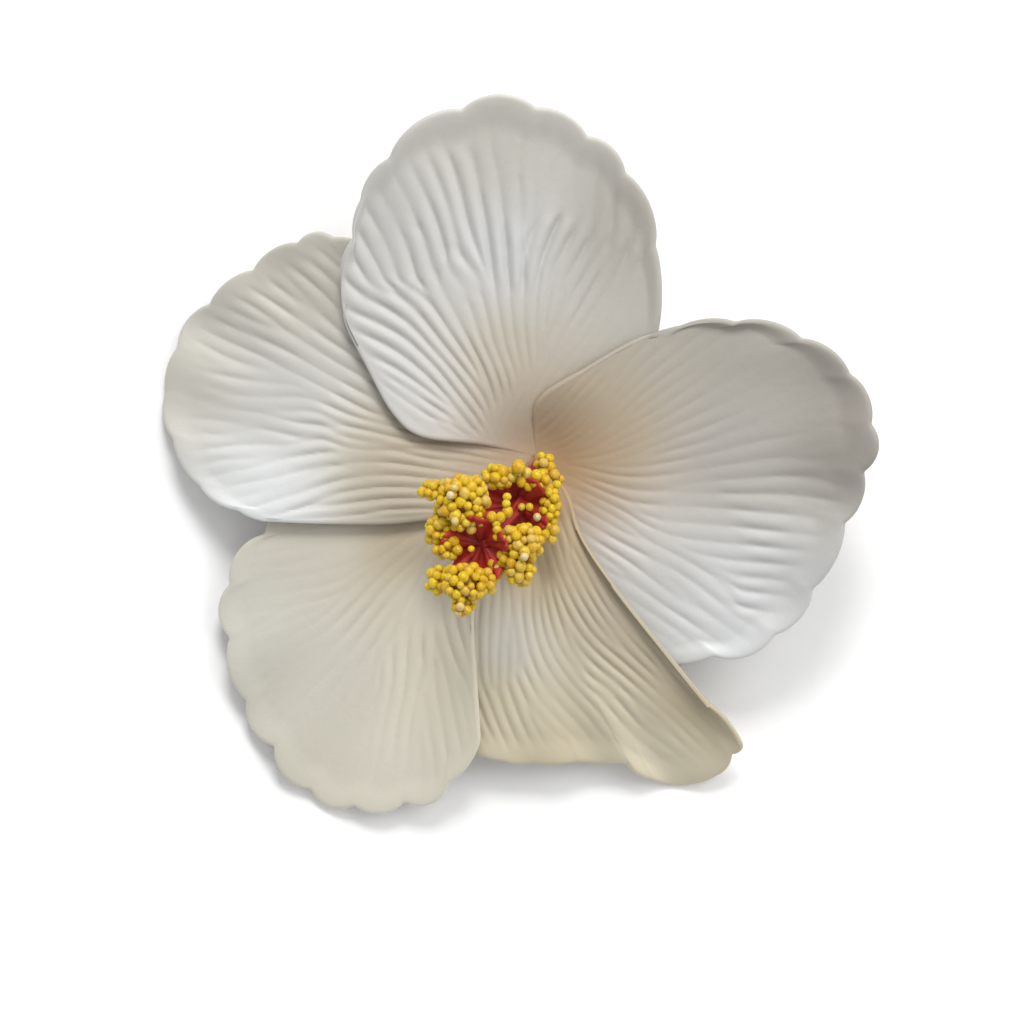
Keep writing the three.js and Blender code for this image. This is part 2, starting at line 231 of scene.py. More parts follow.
# Each petal: its place in the layers, its foot on the throat ring in degrees, its two side edges, and the
# notches of its rim, each with the bulge of the scallop that follows it. The tint spots hold x, y, tone and
# warm tint. Tone 0 is painted shade and 1 is the unshaded foam. The warm tint is partly the foam's cream
# and partly painted warm shade. flow is where the embossed veins run: x, y, direction in degrees, and
# strength. All of these were chosen.
petals = [
    {
        "node": "petal_top", "seed": 23, "layerAngle": 90, "ring": (125, 60), "tipRaise": 0.0,
        "spacing": (1.3, 3.1), "lip": 0.0, "curl": 0.8,
        "upper": [(-8, -0.8), (-17.5, 0.3), (-22, 3.8), (-26, 10.8), (-29.5, 17.8)],
        "rim": [
            (-29.3, 22, 1.5), (-28.2, 31, 0.6), (-27, 37, 1.1), (-22.5, 43.3, 2.3), (-11.2, 50.7, 2.2),
            (0, 50.9, 1.4), (8, 46.6, 1.5), (13.9, 41, 1.7), (18.6, 30, 1.2), (18.4, 14, 0),
        ],
        "lower": [(6, 3.5), (12, 8.5)],
        "tintAndShadeSpots": [
            (-5, 29, 0.6, 0), (-21, 26, 0.5, 0.1), (-5, 46, 0.54, 0.25), (14, 32, 0.3, 0.25),
            (-5, 12, 0.4, 0.45), (-18, 9, 0.5, 0.05),
        ],
        "flow": [
            (-6.4, 19.2, 100, 1.4), (-5, 12, 108, 1.3), (-1.2, 20.9, 82, 1.4), (7.3, 27.8, 58, 1.1),
            (10.8, 36.4, 78, 0.9), (12.5, 29.5, 65, 1), (-4.7, 36.4, 95, 1.1), (-4.7, 28, 95, 1.5),
            (-11.6, 39.8, 108, 0.9), (-16.7, 38.1, 113, 0.8), (-21.9, 36.4, 125, 0.5),
            (-26, 27.8, 120, 0.6), (-20.5, 26.8, 100, 0.8), (-17.4, 27.8, 95, 0.9),
            (-20.2, 20.9, 148, 1), (-23.6, 14.1, 153, 1),
            (-23.6, 7.2, 145, 1), (-18.4, 3.7, 148, 0.9), (-13.3, 10.6, 127, 1), (-15, 19.2, 124, 1),
            (-11.6, 25.4, 135, 1), (0.5, 5.5, 55, 0.15), (7.3, 14, 50, 0.1), (15.9, 22.7, 65, 0.05),
            (16, 36.4, 80, 0.1), (-5, 50, 93, 0.1), (2.2, 43.3, 72, 0.5), (-14, 48, 110, 0.1),
            (2, 31, 68, 1.4), (-26, 19, 160, 0.8), (5, 39, 75, 0.6),
        ],
    },
    {
        "node": "petal_left", "seed": 11, "layerAngle": 162, "ring": (197, 135), "tipRaise": -0.6,
        "spacing": (1.3, 2.4), "lip": 0.0, "curl": 0.4,
        "upper": [(-9, -10.5), (-20, -13), (-31, -13.3)],
        "rim": [
            (-41.8, -13, 0.4), (-46.5, -11.2, 0.9), (-52.6, -7.3, 0.9), (-56.8, 0, 1.1), (-58, 7.2, 0.9),
            (-56.1, 14.3, 1.5), (-51, 21, 1.2), (-44, 26.2, 1.3), (-37, 30.4, 1.3),
            (-31.5, 31.2, 0.9), (-25, 28.6, 0),
        ],
        "lower": [(-9.5, 3), (-18, 13)],
        "tintAndShadeSpots": [
            (-40, 6, 0.5, 0.1), (-38, 25, 0.46, 0.35), (-54, 9, 0.56, 0.3), (-43, -8, 1, 0),
            (-21, -5, 0.25, 0.6),
        ],
        "flow": [
            (-37.7, 25, 138, 0.6), (-45.1, 20.5, 149, 0.6), (-36.2, 17, 142, 0.7), (-41.9, 14.6, 155, 0.6),
            (-44.2, 11, 165, 0.6), (-49.6, 14.6, 150, 0.4), (-33.2, 9.2, 149, 0.8), (-28.7, 5.6, 149, 0.8),
            (-46.6, 7.7, 175, 0.5), (-37.7, 4.7, 2, 0.8), (-45.7, -1, 180, 0.8), (-49.6, 2.6, 175, 0.5),
            (-39.2, 1.1, 164, 0.8), (-28.7, 1.1, 166, 0.8), (-36.2, -2.8, 10, 0.8), (-40.7, -6.4, 20, 0.8),
            (-34.7, -7.3, 26, 1), (-28.7, -8.8, 13, 1), (-24.2, -10, 2, 0.9), (-31.7, -11.7, 10, 0.8),
            (-24.2, -3.4, 176, 0.8), (-18, -5, 170, 0.7), (-54.5, 8, 165, 0.1), (-54, 0, 10, 0.15),
            (-49.5, -6, 20, 0.3), (-30, 22, 128, 0.5),
        ],
    },
    {
        "node": "petal_lower_left", "seed": 7, "layerAngle": 234, "ring": (269, 207), "tipRaise": 2.5,
        "spacing": (1.4, 2.2), "lip": 0.5, "curl": 0.4,
        "upper": [(-4.5, -13), (-8.6, -21), (-9.8, -28), (-9.2, -38)],
        "rim": [
            (-8.6, -46.5, 1.1), (-13.5, -53.9, 2.1), (-20.5, -57, 1.7), (-28.4, -57.6, 1.7),
            (-35.2, -55.1, 2), (-40.8, -48.3, 1.8), (-45.2, -41.3, 1.6), (-47.8, -31.4, 1.9),
            (-47.8, -23, 1.9), (-42.4, -15.2, 0.8), (-37, -8.5, 0),
        ],
        "lower": [(-10, -6), (-22, -8)],
        "tintAndShadeSpots": [
            (-32, -33, 0.78, 0.4), (-34, -17, 0.62, 0.4), (-45, -28, 0.73, 0.3), (-24, -52, 1, 0.5),
            (-12, -38, 0.95, 0.6), (-17, -25, 1, 0.5), (-21, -18, 0.35, 0.8),
        ],
        "flow": [
            (-25.5, -29.8, 53, 0.5), (-22.4, -27.9, 55, 0.6), (-19.9, -29.8, 75, 0.8),
            (-21.8, -36, 92, 0.6), (-18.4, -36.9, 68, 0.8), (-17.4, -31.3, 88, 0.9),
            (-15.3, -31.3, 100, 0.9),
            (-12.8, -32.9, 108, 1), (-11.2, -37.5, 110, 0.9), (-14.3, -40.6, 103, 0.7),
            (-21.4, -43.7, 80, 0.4), (-13.7, -46.8, 100, 0.3), (-36.9, -34.1, 28, 0.12),
            (-43, -38, 50, 0.12), (-35, -20, 5, 0.1), (-30, -13, 0, 0.1), (-42, -25, 10, 0.06),
            (-30, -47, 65, 0.06), (-20, -53, 88, 0.08), (-14, -20, 70, 0.7), (-22, -18, 35, 0.3),
            (-28, -38, 55, 0.15),
        ],
    },
    {
        "node": "petal_lower_right", "seed": 19, "layerAngle": 306, "ring": (341, 279), "tipRaise": -2.75,
        "spacing": (1.2, 1.7), "lip": 1.4, "curl": 0.5,
        "upper": [(4.8, -9), (7, -15.5), (12, -23), (20, -33)],
        "rim": [
            (27, -41.5, 0.7), (32.7, -48.4, 0.4), (30.9, -49.5, 0.7), (28.6, -52.9, 1.3),
            (18.4, -53.6, 0.5), (14.2, -50.9, 0.2), (6.6, -50.7, 0.4), (-0.5, -50.8, 0.4),
            (-5, -50.6, 0.5), (-13, -47.5, 0),
        ],
        "lower": [(-4.5, -11), (-11, -22), (-14, -35)],
        "tintAndShadeSpots": [
            (2, -22, 0.3, 0.9), (-4, -32, 1, 0.3), (-5, -42, 0.85, 0.8), (13, -40, 0.75, 0.7),
            (4, -49, 0.65, 0.8), (20, -49, 0.9, 0.7), (17, -34, 0.3, 0.7), (24, -42, 0.3, 0.8),
            (10, -28, 0.3, 0.6),
        ],
        "flow": [
            (-0.4, -25.2, 92, 0.8), (1.6, -28, 98, 0.9), (5.2, -26.9, 116, 1), (8, -26.9, 122, 1),
            (2.4, -32.2, 110, 1), (6.6, -35, 135, 1), (12.2, -34.4, 137, 0.9), (10.8, -38.3, 156, 0.9),
            (17.7, -39.2, 136, 0.8), (23.3, -44.7, 138, 0.6), (6.6, -40.5, 136, 0.9),
            (9.4, -44.7, 136, 0.8), (15, -43.3, 128, 0.9), (-0.4, -39.2, 114, 0.8),
            (-3.2, -43.3, 114, 0.7), (-0.4, -46.1, 120, 0.6),
            (5.2, -46.1, 138, 0.6), (-5.1, -33.6, 88, 0.3), (-7.4, -28, 82, 0.4), (20.5, -40.5, 132, 0.3),
            (13.6, -30.2, 128, 0.3), (17.7, -46, 148, 0.5), (3.8, -16.8, 106, 0.8), (6.6, -19.6, 118, 0.9),
            (24, -50, 140, 0.1), (10, -49, 120, 0.2),
        ],
    },
    {
        "node": "petal_right", "seed": 5, "layerAngle": 18, "ring": (53, -9), "tipRaise": 0.0,
        "spacing": (1.4, 2.8), "lip": 0.0, "curl": 1.0,
        "upper": [(0.5, 5.6), (8, 10.8), (16, 15.3)],
        "rim": [
            (20.7, 16.0, 1.4), (31.2, 17.8, 1.5), (41.3, 15.2, 1.4), (48.7, 9.7, 1.4), (51.9, 2, 1.8),
            (50.8, -5.3, 1.4), (48, -13.2, 1.3), (43.2, -23.5, 1.5), (37.5, -30.6, 1.9), (28, -34, 0.6),
            (19.5, -35.5, 0),
        ],
        "lower": [(6, -14), (12, -25)],
        "tintAndShadeSpots": [
            (32, 14, 0.2, 0.25), (29, -2, 0.22, 0.15), (48, 1, 0.05, 0.2), (32, -25, 0.72, 0),
            (12, 0, 0.3, 0.6), (30, -32, 0.9, 0), (20, -19, 0.58, 0.05),
        ],
        "flow": [
            (11.4, 8, 50, 0.25), (20.1, 2.7, 30, 0.25), (34.1, 6.2, 20, 0.15), (23.6, -4.2, 12, 0.35),
            (34, -3.9, 8, 0.25), (37.6, -8.8, 5, 0.5), (21.9, -10.5, 5, 0.5), (42.8, -10.2, 170, 0.6),
            (30.6, -14.7, 175, 0.8), (41.1, -14.7, 172, 0.7), (25.4, -16.4, 178, 0.8),
            (32.4, -18.9, 176, 1), (34.1, -22, 178, 1), (34.1, -24.8, 177, 0.9),
            (23.6, -19.2, 142, 0.8), (28.9, -24.1, 139, 0.8),
            (20.1, -19.9, 145, 0.6), (16.7, -16.4, 150, 0.6), (16.7, -21.7, 145, 0.5),
            (21.9, -25.2, 145, 0.5), (30.6, -30.4, 145, 0.3), (11.4, -14.7, 150, 0.6), (47, 3, 10, 0.06),
            (40, 10, 30, 0.06), (28, 12, 40, 0.1), (45, -20, 175, 0.2),
        ],
    },
]


def outerBend(distance):
    return (np.maximum(distance - face["bendStart"], 0) / face["bendLength"]) ** face["bendPower"]


def faceHeight(distance, angle):
    # the surface that all petals are layered on: a funnel that levels off as one minus an exponential of
    # the distance, then tips that droop on one side and lift on the other, by a power of the distance
    past = distance - face["throatRadius"]
    fromFoot = (past + np.sqrt(past ** 2 + face["throatEase"] ** 2)) / 2
    climb = face["throatHeight"] + face["funnelRise"] * (1 - np.exp(-fromFoot / face["funnelLength"]))
    facing = np.cos(np.radians(angle - face["liftDirection"]))
    lift = face["tipDroop"] + (face["tipLift"] - face["tipDroop"]) * smoothstep(facing, *face["liftBlend"])
    return climb + lift * outerBend(distance)


def petalHeight(petal, plan, across, outward):
    # the face, plus a layer that climbs evenly with the turn about the throat, plus a wave along the rim,
    # a rim that curls up, and a lip along the upper side
    arm = plan - throat
    distance = np.linalg.norm(arm, axis=-1)
    angle = np.degrees(np.arctan2(arm[..., 1], arm[..., 0]))
    turned = (angle - petal["layerAngle"] + 540) % 360 - 180
    step = face["layerStep"] * smoothstep(distance, *face["layersPart"]) + face["layerGrowth"] * distance
    layer = step * turned / face["spacing"]
    middle = np.sin(np.pi * across) ** 2
    scallops = len(petal["rim"]) - 1
    wave = np.sin(np.pi * scallops * across) * middle * smoothstep(outward, face["rimWaveStart"], 1)
    raised = petal["tipRaise"] * middle * outerBend(distance)
    cornerFree = smoothstep(np.minimum(across, 1 - across), 0, 0.1)
    curl = petal["curl"] * smoothstep(outward, face["curlStart"], 1) * cornerFree
    nearUpper = 1 - smoothstep(across, 0, face["lipWidth"])
    lip = petal["lip"] * smoothstep(outward, *face["lipGrows"]) * nearUpper ** 2
    return faceHeight(distance, angle) + layer + raised + curl + lip + face["rimWave"] * wave


def ringPoints(angles):
    a = np.radians(angles)
    return throat + face["footRadius"] * np.stack([np.cos(a), np.sin(a)], axis=-1)


def rimCurve(rim, count):
    # each scallop is the straight line between two notches, bulged by a rounded parabola
    knots = np.array(rim, float)
    t = np.linspace(0, 1, 60, endpoint=False)[:, None]
    parts = []
    for (x0, y0, bulge), (x1, y1, _) in zip(knots[:-1], knots[1:]):
        start, along = np.array([x0, y0]), np.array([x1 - x0, y1 - y0])
        outward = np.array([-along[1], along[0]]) / np.hypot(*along)
        parts.append(start + along * t + outward * bulge * (4 * t * (1 - t)) ** 0.8)
    fine = evenSteps(np.vstack(parts + [knots[-1:, :2]]), 1200)
    # the notches of soft foam are rounded a little, by a running average
    kernel = np.exp(-0.5 * (np.arange(-20, 21) / 4.5) ** 2)
    kernel /= kernel.sum()
    padded = np.vstack([np.repeat(fine[:1], 20, 0), fine, np.repeat(fine[-1:], 20, 0)])
    soft = np.stack([np.convolve(padded[:, i], kernel, "valid") for i in range(2)], axis=1)
    return evenSteps(soft, count)


def shifted(path, distance):
    # the path moved to its right hand
    along = unit(np.gradient(path, axis=0))
    return path + distance * np.stack([along[:, 1], -along[:, 0]], axis=1)


def petalPlan(petal):
    # a Coons patch between four edges: the two blends of opposite edges, less the blend of the corners
    nu, nv = face["acrossSteps"] + 1, face["outwardSteps"] + 1
    inset = face["edgeInset"]
    u, v = np.linspace(0, 1, nu), np.linspace(0, 1, nv)
    foot = ringPoints(petal["ring"][0] + (petal["ring"][1] - petal["ring"][0]) * u)
    rim = shifted(rimCurve(petal["rim"], nu), inset)
    ends = [knot[:2] for knot in (petal["rim"][0], petal["rim"][-1])]
    upper = shifted(alongCurve([foot[0]] + petal["upper"] + [ends[0]], nv), inset)
    lower = shifted(alongCurve([foot[-1]] + petal["lower"] + [ends[1]], nv), -inset)
    for side, start, end in ((upper, foot[0], rim[0]), (lower, foot[-1], rim[-1])):
        side += (1 - v)[:, None] * (start - side[0]) + v[:, None] * (end - side[-1])
    U, V = u[None, :, None], v[:, None, None]
    sides = (1 - U) * upper[:, None] + U * lower[:, None]
    across = (1 - V) * foot[None] + V * rim[None]
    corners = (1 - V) * ((1 - U) * foot[0] + U * foot[-1]) + V * ((1 - U) * rim[0] + U * rim[-1])
    return sides + across - corners, np.broadcast_to(u, (nv, nu)), np.broadcast_to(v[:, None], (nv, nu))


def growRidges(petal, low, size):
    # Random noise on a flat grid is filtered again and again along the flow, until it settles into long
    # ridges that fork and close as embossed veins do. The last waves become cushions with sharp creases
    # between them, half a cosine each, which fade in and out. Returns their height in millimetres.
    cell = face["ridgeCell"]
    n = int(math.ceil(size / cell))
    x = low[0] + cell * np.arange(n)[None, :]
    y = low[1] + cell * np.arange(n)[:, None]
    flow = np.array(petal["flow"], float)
    near = 1 / ((x[..., None] - flow[:, 0]) ** 2 + (y[..., None] - flow[:, 1]) ** 2 + 3) ** 2
    double = np.radians(2 * flow[:, 2])
    direction = 0.5 * np.arctan2((near * np.sin(double)).sum(-1), (near * np.cos(double)).sum(-1))
    strength = (near * flow[:, 3]).sum(-1) / near.sum(-1)
    distance = np.hypot(x - throat[0], y - throat[1])
    inner, outer = petal["spacing"]
    wanted = inner + (outer - inner) * smoothstep(distance, 6, 46)

    fx = np.fft.rfftfreq(n, cell)[None, :]
    fy = np.fft.fftfreq(n, cell)[:, None]
    steps, spacings = face["ridgeDirections"], face["ridgeSpacings"]
    turn = (direction / np.pi * steps) % steps
    filters = []
    for k in range(steps):
        a = np.pi * k / steps
        alongPart = fx * np.cos(a) + fy * np.sin(a)
        crossPart = -fx * np.sin(a) + fy * np.cos(a)
        apart = np.abs(turn - k)
        share = np.maximum(0, 1 - np.minimum(apart, steps - apart))
        for spacing in spacings:
            f = 1 / spacing
            offWidth = (np.abs(crossPart) - f) / (0.3 * f)
            offDirection = alongPart / (0.15 * f)
            band = np.exp(-0.5 * offWidth ** 2 - 0.5 * offDirection ** 2)
            fit = np.maximum(0, 1 - np.abs(wanted - spacing) / (spacings[1] - spacings[0]))
            filters.append((band, share * fit))

    def soften(grid, radius):
        blur = np.exp(-2 * (np.pi * radius) ** 2 * (fx ** 2 + fy ** 2))
        return np.fft.irfft2(np.fft.rfft2(grid) * blur, (n, n))

    rng = np.random.default_rng(petal["seed"])
    ridges = rng.standard_normal((n, n))
    for _ in range(face["ridgeRounds"]):
        spectrum = np.fft.rfft2(np.tanh(1.6 * ridges / ridges.std()))
        ridges = sum(weight * np.fft.irfft2(spectrum * band, (n, n)) for band, weight in filters)
    swell = np.sqrt(2 * soften(ridges ** 2, 1.5))
    cushions = np.sqrt((1 + np.clip(ridges / swell, -1, 1)) / 2) - 0.6
    drift = soften(rng.standard_normal((n, n)), 2.6)
    fade = 0.35 + 0.65 * smoothstep(drift / drift.std(), -1.3, 0.9)
    return face["ridgeSlope"] * wanted * strength * fade * cushions


def sample(relief, low, plan):
    # bilinear reading of a flat grid at plan points
    cell = face["ridgeCell"]
    g = (plan - low) / cell
    i = np.clip(np.floor(g).astype(int), 0, np.array(relief.shape[::-1]) - 2)
    t = np.clip(g - i, 0, 1)
    x, y, tx, ty = i[..., 0], i[..., 1], t[..., 0], t[..., 1]
    top = relief[y, x] * (1 - tx) + relief[y, x + 1] * tx
    bottom = relief[y + 1, x] * (1 - tx) + relief[y + 1, x + 1] * tx
    return top * (1 - ty) + bottom * ty


def surfaceNormals(grid):
    # across the two directions of the grid
    return unit(np.cross(np.gradient(grid, axis=1), np.gradient(grid, axis=0)))


def uprightNormals(petal, plan, across, outward):
    # from the slope of the height over the plan, so they stay sound where the grid is squeezed
    step = face["slopeStep"]
    slopes = []
    for shift in (np.array([step, 0]), np.array([0, step])):
        rise = (petalHeight(petal, plan + shift, across, outward)
                - petalHeight(petal, plan - shift, across, outward))
        slopes.append(rise / (2 * step))
    return unit(np.dstack([-slopes[0], -slopes[1], np.ones_like(across)]))


def border(grid):
    # once around a grid's edge: foot, lower side, rim, upper side
    return np.concatenate([grid[0, :-1], grid[:-1, -1], grid[-1, :0:-1], grid[:0:-1, 0]])


def petalMesh(petal):
    plan, across, outward = petalPlan(petal)
    middle = np.dstack([plan, petalHeight(petal, plan, across, outward)])
    normal = uprightNormals(petal, plan, across, outward)
    low = plan.reshape(-1, 2).min(0) - 1
    size = np.ptp(plan.reshape(-1, 2), axis=0).max() + 2
    edge = np.minimum(np.minimum(across, 1 - across) * 12, (1 - outward) * 9)
    relief = sample(growRidges(petal, low, size), low, plan)
    relief *= smoothstep(edge, 0.1, 1) * smoothstep(outward, 0.03, 0.25)
    half = face["thickness"] / 2
    top = middle + normal * (relief + half)[..., None]
    under = middle + normal * (face["undersideRelief"] * relief - half)[..., None]

    # the rim is a rounded wall, a little squarer than a half circle
    edgeMiddle, edgeNormal = border(middle), border(normal)
    along = np.roll(edgeMiddle, -1, 0) - np.roll(edgeMiddle, 1, 0)
    out = unit(np.cross(along, edgeNormal))
    rings = []
    for k in range(1, face["rimRings"]):
        a = math.pi * k / face["rimRings"]
        side = math.copysign(abs(math.cos(a)) ** face["rimSquareness"], math.cos(a))
        rings.append(edgeMiddle + half * (side * edgeNormal + math.sin(a) ** face["rimSquareness"] * out))
    points = [top.reshape(-1, 3)] + rings
    nv, nu = top.shape[:2]
    loop = border(np.arange(nv * nu).reshape(nv, nu))
    count = len(loop)
    quads = [gridQuads(nv, nu)]
    start = nv * nu
    before = loop
    for _ in rings:
        ring = start + np.arange(count)
        quads.append(np.stack([before, ring, np.roll(ring, -1), np.roll(before, -1)], axis=1))
        before = ring
        start += count
    # the underside has half as many steps; a strip of triangles joins it to the rim
    coarse = under[::2, ::2]
    points.append(coarse.reshape(-1, 3))
    quads.append(gridQuads(*coarse.shape[:2], start=start, flip=True))
    lowLoop = start + border(np.arange(coarse.shape[0] * coarse.shape[1]).reshape(coarse.shape[:2]))
    f0, f1, f2 = before[::2], before[1::2], np.roll(before, -2)[::2]
    c0, c1 = lowLoop, np.roll(lowLoop, -1)
    strip = np.concatenate([np.stack(t, axis=1) for t in ((f0, c0, f1), (f1, c0, c1), (f1, c1, f2))])
    return np.vstack(points), np.vstack(quads), strip


# the throat's brownish tint: partly the foam's own and partly painted shade of the sunken throat
blushAndThroatShade = {"centre": (3.0, -5.0), "reach": 11, "most": 0.8, "falloff": 1.6}


def petalTintsAndShade(petal, points):
    # tone (0 painted shade, 1 unshaded foam) and the warm tint (the foam's cream with painted warm shade)
    # are spread between the listed spots; a brownish tint in the throat, partly the foam's own and partly
    # painted shade of the sunken throat, gathers there
    spots = np.array(petal["tintAndShadeSpots"], float)
    near = 1 / ((points[:, :1] - spots[:, 0]) ** 2 + (points[:, 1:2] - spots[:, 1]) ** 2 + 25) ** 1.5
    tone, creamAndWarmShade = ((near * spots[:, i]).sum(1) / near.sum(1) for i in (2, 3))
    arm = points[:, :2] - np.array(blushAndThroatShade["centre"])
    distance = np.hypot(arm[:, 0] * 0.9, arm[:, 1])
    throatBlushAndShade = blushAndThroatShade["most"] * np.exp(-(distance / blushAndThroatShade["reach"]) ** blushAndThroatShade["falloff"])
    return {"tone": tone, "creamAndWarmShade": creamAndWarmShade, "blushAndThroatShade": throatBlushAndShade}


def petalMaterial():
    # pressed foam sheet: satin and faintly grainy, with light spreading softly under its skin
    material, shader = newMaterial("pressedPetalFoam")
    creamAndWarmShade = attribute(material, "creamAndWarmShade")
    # the warm tint is partly the foam's own cream and partly painted warm shade
    unshadedFoam = mixColour(material, creamAndWarmShade, linear("#DADCDC"), linear("#DACEAA"))
    # the grey colours are painted shade, mixed in where tone falls towards 0, darker where the petal gets
    # less light
    paintedShadeFoam = mixColour(material, creamAndWarmShade, linear("#918E8A"), linear("#8F7C5A"))
    foam = mixColour(material, attribute(material, "tone"), paintedShadeFoam, unshadedFoam)
    # partly the foam's own throat tint and partly painted shade in the throat
    base = mixColour(material, attribute(material, "blushAndThroatShade"), foam, linear("#A37E52"))
    grain = objectNoise(material, 0.35, 4, 0.6)
    crumple = objectNoise(material, 1.6, 3, 0.55)
    normal = bump(material, grain, 0.02)
    normal = bump(material, crumple, 0.05, normal)
    setShader(material, shader, {
        "Roughness": 0.52,
        "IOR": 1.45,
        "Subsurface Weight": 0.2,
        "Subsurface Radius": (1.0, 0.9, 0.75),
        "Subsurface Scale": 0.0008,
        "Sheen Weight": 0.08,
        "Sheen Roughness": 0.5,
    }, {"Base Color": base, "Normal": normal})
    return material


petalFoam = petalMaterial()
for petal in petals:
    points, quads, strip = petalMesh(petal)
    piece = meshPiece(petal["node"] + "_foam", points, quads, strip, petalTintsAndShade(petal, points))
    finishPiece(piece, [petal["node"]], petalFoam)
    print("petal", petal["node"], len(piece.data.polygons))


# ---- the red column with its two ruffles

column = {
    "line": [
        (0.5, -4.0, 7.4), (0.5, -4.3, 10.5), (-0.4, -6.2, 15), (-2.4, -10.5, 19.4), (-5.2, -13.8, 22.6),
        (-8.1, -16.7, 25.4),
    ],
    "radius": [(0, 1.5), (0.2, 1.3), (0.5, 1.4), (0.7, 1.0), (1, 0.9)],
    "flutes": 5,
    "steps": 90,
    "around": 60,
    "paleUntil": (0.1, 0.3),
    "feltHalf": 0.22,
}

# A ruffle is a pleated star: its middle, the way it faces, its reach, how far its rim comes forward, the
# depth of its pleats, and the turn of its first lobe in degrees.
ruffles = [
    {"centre": (-8.3, -16.6, 25.2), "facing": (-0.32, -0.3, 0.9), "reach": 5.6, "forward": 2.2,
     "pleat": 1.5, "turn": 20, "seed": 2},
    {"centre": (-3.0, -10.5, 18.8), "facing": (-0.2, -0.2, 0.95), "reach": 6.0, "forward": 1.9,
     "pleat": 1.3, "turn": 50, "seed": 8},
]


def columnStem():
    # a tube along the line; its radius swells and shrinks, times one plus a cosine for the flutes
    line = alongCurve(column["line"], column["steps"])
    axis = unit(np.gradient(line, axis=0))
    side = unit(np.cross(axis, [0.0, 1.0, 0.0]))
    over = np.cross(axis, side)
    t = np.linspace(0, 1, column["steps"])
    knots = np.array(column["radius"])
    radius = np.interp(t, knots[:, 0], knots[:, 1])
    soft = np.exp(-0.5 * (np.arange(-6, 7) / 2.5) ** 2)
    radius = np.convolve(np.pad(radius, 6, "edge"), soft / soft.sum(), "valid")
    a = np.linspace(0, 2 * np.pi, column["around"], endpoint=False)
    flute = 1 + 0.16 * np.cos(column["flutes"] * a[None, :] + 5 * t[:, None])
    r = (radius[:, None] * flute)[..., None]
    turnSide, turnOver = np.cos(a)[None, :, None], np.sin(a)[None, :, None]
    rings = line[:, None] + r * (turnSide * side[:, None] + turnOver * over[:, None])
    paleness = 1 - smoothstep(np.repeat(t, column["around"]), *column["paleUntil"])
    tube = closedTube(rings, line[0], line[-1] + axis[-1] * 0.4)
    return tube, np.concatenate([paleness, [1, 0]])


def closedTube(rings, first, last):
    rows, around = rings.shape[:2]
    index = np.arange(rows * around).reshape(rows, around)
    following = np.roll(index, -1, 1)
    quads = np.stack([index[:-1], following[:-1], following[1:], index[1:]], axis=-1).reshape(-1, 4)
    foot, tip = rows * around, rows * around + 1
    caps = np.vstack([
        np.stack([following[0], index[0], np.full(around, foot)], axis=1),
        np.stack([index[-1], following[-1], np.full(around, tip)], axis=1),
    ])
    return np.vstack([rings.reshape(-1, 3), first, last]), quads, caps


def ruffleSheet(ruffle):
    # height over the star: a cone that comes forward at the rim, with five pleats that deepen outwards
    rows, around = 26, 150
    s = np.linspace(0.03, 1, rows)[:, None]
    a = np.linspace(0, 2 * np.pi, around, endpoint=False)[None, :]
    turn = math.radians(ruffle["turn"])
    rng = np.random.default_rng(ruffle["seed"])
    wander = sum(rng.uniform(0.1, 0.4) * np.cos(k * a + rng.uniform(0, 6.3)) for k in (2, 3, 7, 11))
    lobe = np.cos(5 * (a - turn) + 0.5 * s + 0.25 * wander)
    reach = ruffle["reach"] * (0.88 + 0.1 * lobe + 0.05 * wander)
    r = s * reach
    pleat = ruffle["pleat"] * s ** 1.2 * (np.abs(lobe) ** 0.7 * np.sign(lobe))
    crease = -0.5 * s * np.exp(-((1 - lobe) / 0.05) ** 2) + 0.22 * s * wander
    forward = ruffle["forward"] * s ** 1.7 + pleat + crease
    facing = unit(np.array(ruffle["facing"], float))
    side = unit(np.cross([0.0, 1.0, 0.0], facing))
    over = np.cross(facing, side)
    centre = np.array(ruffle["centre"], float)
    sheet = (centre + (r * np.cos(a))[..., None] * side + (r * np.sin(a))[..., None] * over
             + forward[..., None] * facing)
    wrapped = np.concatenate([sheet[:, -1:], sheet, sheet[:, :1]], axis=1)
    normal = surfaceNormals(wrapped)[:, 1:-1] * -1
    # painted shade mask: full at the middle of the star and gone by seven tenths of its reach
    depth = np.broadcast_to(1 - smoothstep(s, 0.0, 0.7), r.shape)
    half = column["feltHalf"]
    front = sheet + half * normal
    back = sheet - half * normal
    lip = sheet[-1] + 0.2 * unit(sheet[-1] - sheet[-2])
    rings = np.concatenate([front, lip[None], back[::-1]])
    points, quads, caps = closedTube(rings, front[0].mean(0), back[0].mean(0))
    foldShade = [depth.ravel(), np.zeros(around), depth[::-1].ravel(), [1, 1]]
    return points, quads, caps, np.concatenate(foldShade)


def columnMaterial():
    # soft dyed foam felt: dark red, with painted shade making it nearly black red in the middle of each
    # ruffle and along the stem, and a velvety lift at grazing angles
    material, shader = newMaterial("redColumnFelt")
    patches = ramp(material, objectNoise(material, 1.8, 3, 0.6), 0.35, 0.7)
    red = mixColour(material, patches, linear("#9A1A10"), linear("#B02A20"))
    # painted shade: the red is darkened in the middle of each ruffle and along the stem
    shadedRed = mixColour(material, attribute(material, "foldShade"), red, linear("#7A0E08"))
    coloured = mixColour(material, attribute(material, "pale"), shadedRed, linear("#A88A66"))
    normal = bump(material, objectNoise(material, 0.5, 4, 0.6), 0.06)
    setShader(material, shader, {
        "Roughness": 0.58,
        "IOR": 1.45,
        "Sheen Weight": 0.05,
        "Sheen Roughness": 0.5,
        "Sheen Tint": linear("#FFA090"),
    }, {"Base Color": coloured, "Normal": normal})
    return material


